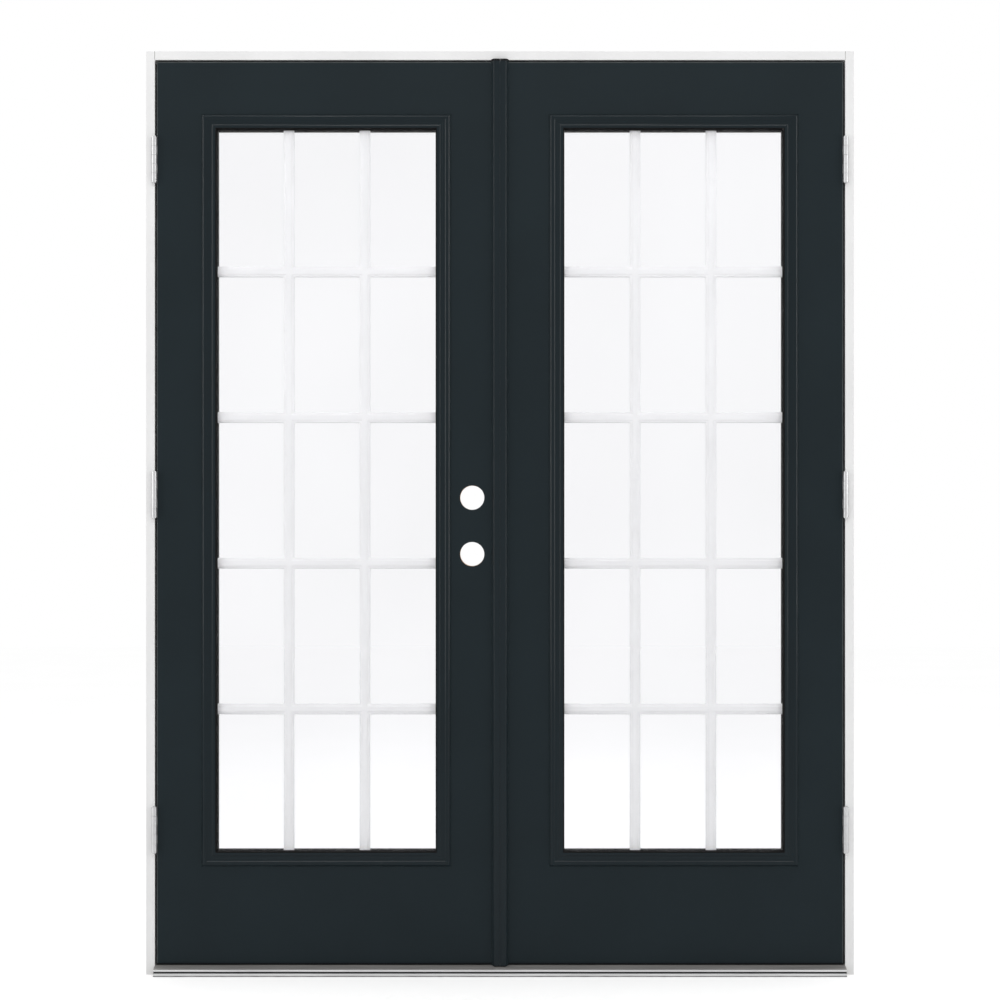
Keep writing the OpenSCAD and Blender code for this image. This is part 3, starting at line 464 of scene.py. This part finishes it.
MATERIALS = {
    "jamb_white": jamb("jamb_white_paint", JAMB_WHITE),
    "sill_composite": rubber("sill_composite", COMPOSITE, 0.6, swing=0.04),
    "sill_aluminium": sill("sill_aluminium", SILL_METAL),
    "seal_grey": rubber("seal_vinyl", SEAL_GREY, 0.55),
    "rubber_black": rubber("black_rubber", RUBBER_BLACK, 0.6),
    "hinge_satin": metal("hinge_satin", SATIN_METAL, 0.42),
    "zinc_steel": metal("zinc_steel", ZINC, 0.38),
    "slab_dark": skin("slab_paint", SLAB_DARK, SLAB_EDGE_HIGHLIGHT),
    "lite_dark": moulding("lite_frame_paint", TRIM_DARK, TRIM_HIGHLIGHT),
    "cap_dark": cap("edge_cap_paint", TRIM_DARK, TRIM_HIGHLIGHT),
    "core_wood": painted_wood("planed_pine", PINE, SLAB_DARK),
    "core_foam": foam("rigid_foam", FOAM),
    "clear_glass": glass("clear_glass", GLASS_CLEAR),
    "spacer_metal": metal("spacer_dark_steel", SPACER_DARK, 0.6),
    "grille_white": enamel("grille_enamel", GRILLE_WHITE, GRILLE_SWING),
}
# Dark metal for the crosses of painted shade in the screw heads.
RECESS = metal("screw_recess_shade", RECESS_SHADE, 0.6)

for part in frame["record"]["subparts"]:
    mesh = NODES[part["node"]].data
    mesh.materials.clear()
    mesh.materials.append(MATERIALS[part["material_slot"]])

# Lamps reach the grille and the head past panes and mouldings.
SIDES = ("active", "passive")
SHADOWLESS = (
    "exterior_pane",
    "interior_pane",
    "exterior_lite_frame",
    "interior_lite_frame",
    "edge_cap",
    "edge_pads",
)
for side in SIDES:
    for piece in SHADOWLESS:
        NODES[f"{side}_{piece}"].visible_shadow = False

# Eased edges: node to the radius in metres.
EASED = {
    "left_jamb": 0.0012,
    "right_jamb": 0.0012,
    "head_jamb": 0.0012,
    "sill_deck": 0.0006,
    "sill_bumper": 0.0008,
}
for side in SIDES:
    EASED[f"{side}_exterior_lite_frame"] = 0.0006
    EASED[f"{side}_interior_lite_frame"] = 0.0006
    EASED[f"{side}_grille"] = 0.0005
    EASED[f"{side}_edge_cap"] = 0.0005
SHARP_ANGLE = math.radians(36)
WELD_REACH = 0.00001
EASE_SEGMENTS = 2


def smooth_group():
    """Node group that shades a mesh smooth except over edges sharper than an angle."""
    tree = bpy.data.node_groups.new("smooth_by_angle", "GeometryNodeTree")
    tree.interface.new_socket("Geometry", in_out="INPUT", socket_type="NodeSocketGeometry")
    tree.interface.new_socket("Geometry", in_out="OUTPUT", socket_type="NodeSocketGeometry")
    start, clear, faces, edges, end = [tree.nodes.new(kind) for kind in (
        "NodeGroupInput",
        "GeometryNodeRemoveAttribute",
        "GeometryNodeSetShadeSmooth",
        "GeometryNodeSetShadeSmooth",
        "NodeGroupOutput",
    )]
    for before, after in ((start, clear), (clear, faces), (faces, edges), (edges, end)):
        tree.links.new(before.outputs["Geometry"], after.inputs["Geometry"])
    clear.inputs["Name"].default_value = "custom_normal"
    edges.domain = "EDGE"
    angle = tree.nodes.new("GeometryNodeInputMeshEdgeAngle")
    soft = tree.nodes.new("FunctionNodeCompare")
    soft.data_type = "FLOAT"
    soft.operation = "LESS_THAN"
    soft.inputs["B"].default_value = SHARP_ANGLE
    tree.links.new(angle.outputs["Unsigned Angle"], soft.inputs["A"])
    tree.links.new(soft.outputs["Result"], edges.inputs["Shade Smooth"])
    return tree


SMOOTH = smooth_group()


def ease(obj, radius):
    """Welds the split corners, smooths the mouldings and rounds each sharp edge by a radius."""
    weld = obj.modifiers.new("weld", "WELD")
    weld.merge_threshold = WELD_REACH
    obj.modifiers.new("smooth", "NODES").node_group = SMOOTH
    bevel = obj.modifiers.new("ease", "BEVEL")
    bevel.width = radius
    bevel.segments = EASE_SEGMENTS
    bevel.limit_method = "ANGLE"
    bevel.angle_limit = SHARP_ANGLE
    bevel.use_clamp_overlap = True
    weighted = obj.modifiers.new("weighted", "WEIGHTED_NORMAL")
    weighted.keep_sharp = True


for node, radius in EASED.items():
    ease(NODES[node], radius)

# Cross recesses of the screws, drawn as dark crosses of painted shade: node to the body it rides on, the
# axis of its screws, which way along that axis the heads face (away from the middle, towards it, or
# always up the axis), and the slot.
SCREWS = {
    "frame_screws": ("frame", 0, "out", "zinc_steel"),
    "frame_plate_screws": ("frame", 0, "in", "hinge_satin"),
    "active_hinge_screws": ("active_leaf", 0, "out", "hinge_satin"),
    "passive_hinge_screws": ("passive_leaf", 0, "out", "hinge_satin"),
    "active_lite_screws": ("active_leaf", 1, "up", "zinc_steel"),
    "passive_lite_screws": ("passive_leaf", 1, "up", "zinc_steel"),
}
SCREW_APART = 0.012
ARM_SHARE = 0.62
ARM_HALF_SHARE = 0.15
RECESS_PROUD = 0.00005
RECESS_DEEP = 0.0003


def corners(points):
    """Lowest and highest corner of some points."""
    return [[pick(p[i] for p in points) for i in range(3)] for pick in (min, max)]


def screw_boxes(points, axis):
    """Boxes of the separate screws among a mesh's points, told apart by side and across their axis."""
    across = [i for i in range(3) if i != axis]
    groups = []
    for point in points:
        for group in groups:
            near = all(abs(point[i] - group[0][i]) < SCREW_APART for i in across)
            if near and point[0] * group[0][0] > 0:
                group.append(point)
                break
        else:
            groups.append([point])
    return [corners(group) for group in groups]


def cross_outline(radius):
    """Corners of a plus sign, in turn."""
    a, b = radius * ARM_SHARE, radius * ARM_HALF_SHARE
    quarter = [(b, b), (b, a), (-b, a)]
    outline = []
    for _ in range(4):
        outline += quarter
        quarter = [(-v, u) for u, v in quarter]
    return outline


def paint_recess_shades(node, body, axis, facing, slot):
    """Dark cross of painted shade in the recess of each screw head of a node, in one piece."""
    across = [i for i in range(3) if i != axis]
    verts, faces = [], []
    for low, high in screw_boxes([v.co for v in NODES[node].data.vertices], axis):
        centre = [(a + b) / 2 for a, b in zip(low, high)]
        side = 1 if centre[0] > 0 else -1
        sense = {"out": side, "in": -side, "up": 1}[facing]
        head = high[axis] if sense > 0 else low[axis]
        outline = cross_outline((high[across[0]] - low[across[0]]) / 2)
        start, n = len(verts), len(outline)
        for level in (head + sense * RECESS_PROUD, head - sense * RECESS_DEEP):
            for u, v in outline:
                place = list(centre)
                place[axis] = level
                place[across[0]] += u
                place[across[1]] += v
                verts.append(place)
        top = [start + i for i in range(n)]
        bottom = [start + n + i for i in range(n)]
        faces += [top, bottom[::-1]]
        faces += [[top[i - 1], bottom[i - 1], bottom[i], top[i]] for i in range(n)]
    # The crosses are painted shade standing in for the recesses.
    mesh = bpy.data.meshes.new(f"{node}_recesses")
    mesh.from_pydata(verts, [], faces)
    form = bmesh.new()
    form.from_mesh(mesh)
    bmesh.ops.recalc_face_normals(form, faces=form.faces)
    form.to_mesh(mesh)
    form.free()
    mesh.materials.append(RECESS)
    piece = bpy.data.objects.new(f"{node}_recesses", mesh)
    bpy.context.collection.objects.link(piece)
    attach(piece, body)


for node, about in SCREWS.items():
    paint_recess_shades(node, *about)

# Studio: pale floor, white surroundings, a long lamp from above, one from each side and one behind, and
# strips that show only as reflections on dark paint and hinges.
FLOOR_HALF = 12.0
FLOOR_LIFT = 0.35
FLOOR_ROUGH = 0.9
WORLD_LIGHT = 0.67
SHINY_SLOTS = ("lite_dark", "cap_dark", "slab_dark", "hinge_satin")
LAMP_TARGET = (0, 0, 1.1)
LAMPS = {
    "back": {"place": (0.0, 3.4, 3.6), "size": (4.0, 1.0), "power": 14.0},
    "strip_top": {"place": (0.0, -1.8, 4.8), "size": (3.5, 0.25), "power": 45.0, "gloss_only": True},
    "strip_left": {"place": (-4.2, -1.0, 1.7), "size": (0.2, 2.6), "power": 27.0, "gloss_only": True},
    "strip_right": {"place": (4.2, -1.0, 1.7), "size": (0.2, 2.6), "power": 27.0, "gloss_only": True},
    "top": {"place": (0.0, -3.0, 4.1), "size": (4.0, 0.5), "power": 34.0},
    "left": {"place": (-3.4, -2.0, 1.6), "size": (0.25, 2.6), "power": 18.0},
    "right": {"place": (3.4, -2.0, 1.6), "size": (0.25, 2.6), "power": 18.0},
}


def make_world():
    """White surroundings, dimmer as light than as they are seen."""
    world = bpy.data.worlds.new("studio")
    bpy.context.scene.world = world
    world.use_nodes = True
    tree = world.node_tree
    background = tree.nodes["Background"]
    background.inputs["Color"].default_value = (1, 1, 1, 1)
    path = tree.nodes.new("ShaderNodeLightPath")
    seen = path.outputs["Is Camera Ray"]
    for name in ("Is Glossy Ray", "Is Transmission Ray"):
        either = tree.nodes.new("ShaderNodeMath")
        either.operation = "MAXIMUM"
        tree.links.new(seen, either.inputs[0])
        tree.links.new(path.outputs[name], either.inputs[1])
        seen = either.outputs["Value"]
    strength = tree.nodes.new("ShaderNodeMapRange")
    strength.inputs["To Min"].default_value = WORLD_LIGHT
    strength.inputs["To Max"].default_value = 1.0
    tree.links.new(seen, strength.inputs["Value"])
    tree.links.new(strength.outputs["Result"], background.inputs["Strength"])


def make_floor():
    """Pale floor, lifted towards white where it is seen, that keeps the object's shadow."""
    mesh = bpy.data.meshes.new("floor")
    h = FLOOR_HALF
    mesh.from_pydata([(-h, -h, 0), (h, -h, 0), (h, h, 0), (-h, h, 0)], [], [(0, 1, 2, 3)])
    floor = bpy.data.objects.new("floor", mesh)
    bpy.context.collection.objects.link(floor)
    m = Material("floor_pale")
    m.link(m.cloud(FLOOR_PALE, m.noise("floor"), swing=0.004), "Base Color")
    m.set(Roughness=FLOOR_ROUGH, Specular_IOR_Level=0.0, Emission_Color=(1, 1, 1, 1))
    path = m.add("ShaderNodeLightPath")
    seen = m.either(*[path.outputs[f"Is {ray} Ray"] for ray in ("Camera", "Glossy", "Transmission")])
    m.link(m.calc(seen, "MULTIPLY", FLOOR_LIFT), "Emission Strength")
    mesh.materials.append(m.mat)


def aim(obj, target):
    obj.rotation_euler = (Vector(target) - obj.location).to_track_quat("-Z", "Y").to_euler()


def make_lamps():
    """Area lamps, of which the gloss-only ones light nothing but the shiny nodes' reflections."""
    shiny = bpy.data.collections.new("shiny")
    for part in frame["record"]["subparts"]:
        if part["material_slot"] in SHINY_SLOTS:
            shiny.objects.link(NODES[part["node"]])
    for name, lamp in LAMPS.items():
        light = bpy.data.lights.new(name, "AREA")
        light.shape = "RECTANGLE"
        light.size, light.size_y = lamp["size"]
        light.energy = lamp["power"]
        obj = bpy.data.objects.new(name, light)
        bpy.context.collection.objects.link(obj)
        obj.location = lamp["place"]
        if "gloss_only" in lamp:
            obj.visible_diffuse = False
            obj.light_linking.receiver_collection = shiny
        aim(obj, LAMP_TARGET)


def make_camera():
    """Level camera at the photograph's distance and framing."""
    data = bpy.data.cameras.new("camera")
    camera = bpy.data.objects.new("camera", data)
    bpy.context.collection.objects.link(camera)
    data.sensor_width = SENSOR_MM
    data.lens = SENSOR_MM * CAMERA_DISTANCE * MM_PER_M / (IMAGE_PX * MM_PER_PX)
    data.shift_y = (HORIZON_PX - IMAGE_PX / 2) / IMAGE_PX
    camera.location = (0, -CAMERA_DISTANCE, CAMERA_HEIGHT)
    camera.rotation_euler = (math.pi / 2, 0, 0)
    bpy.context.scene.camera = camera


make_world()
make_floor()
make_lamps()
make_camera()
bpy.context.scene.view_settings.view_transform = "Standard"
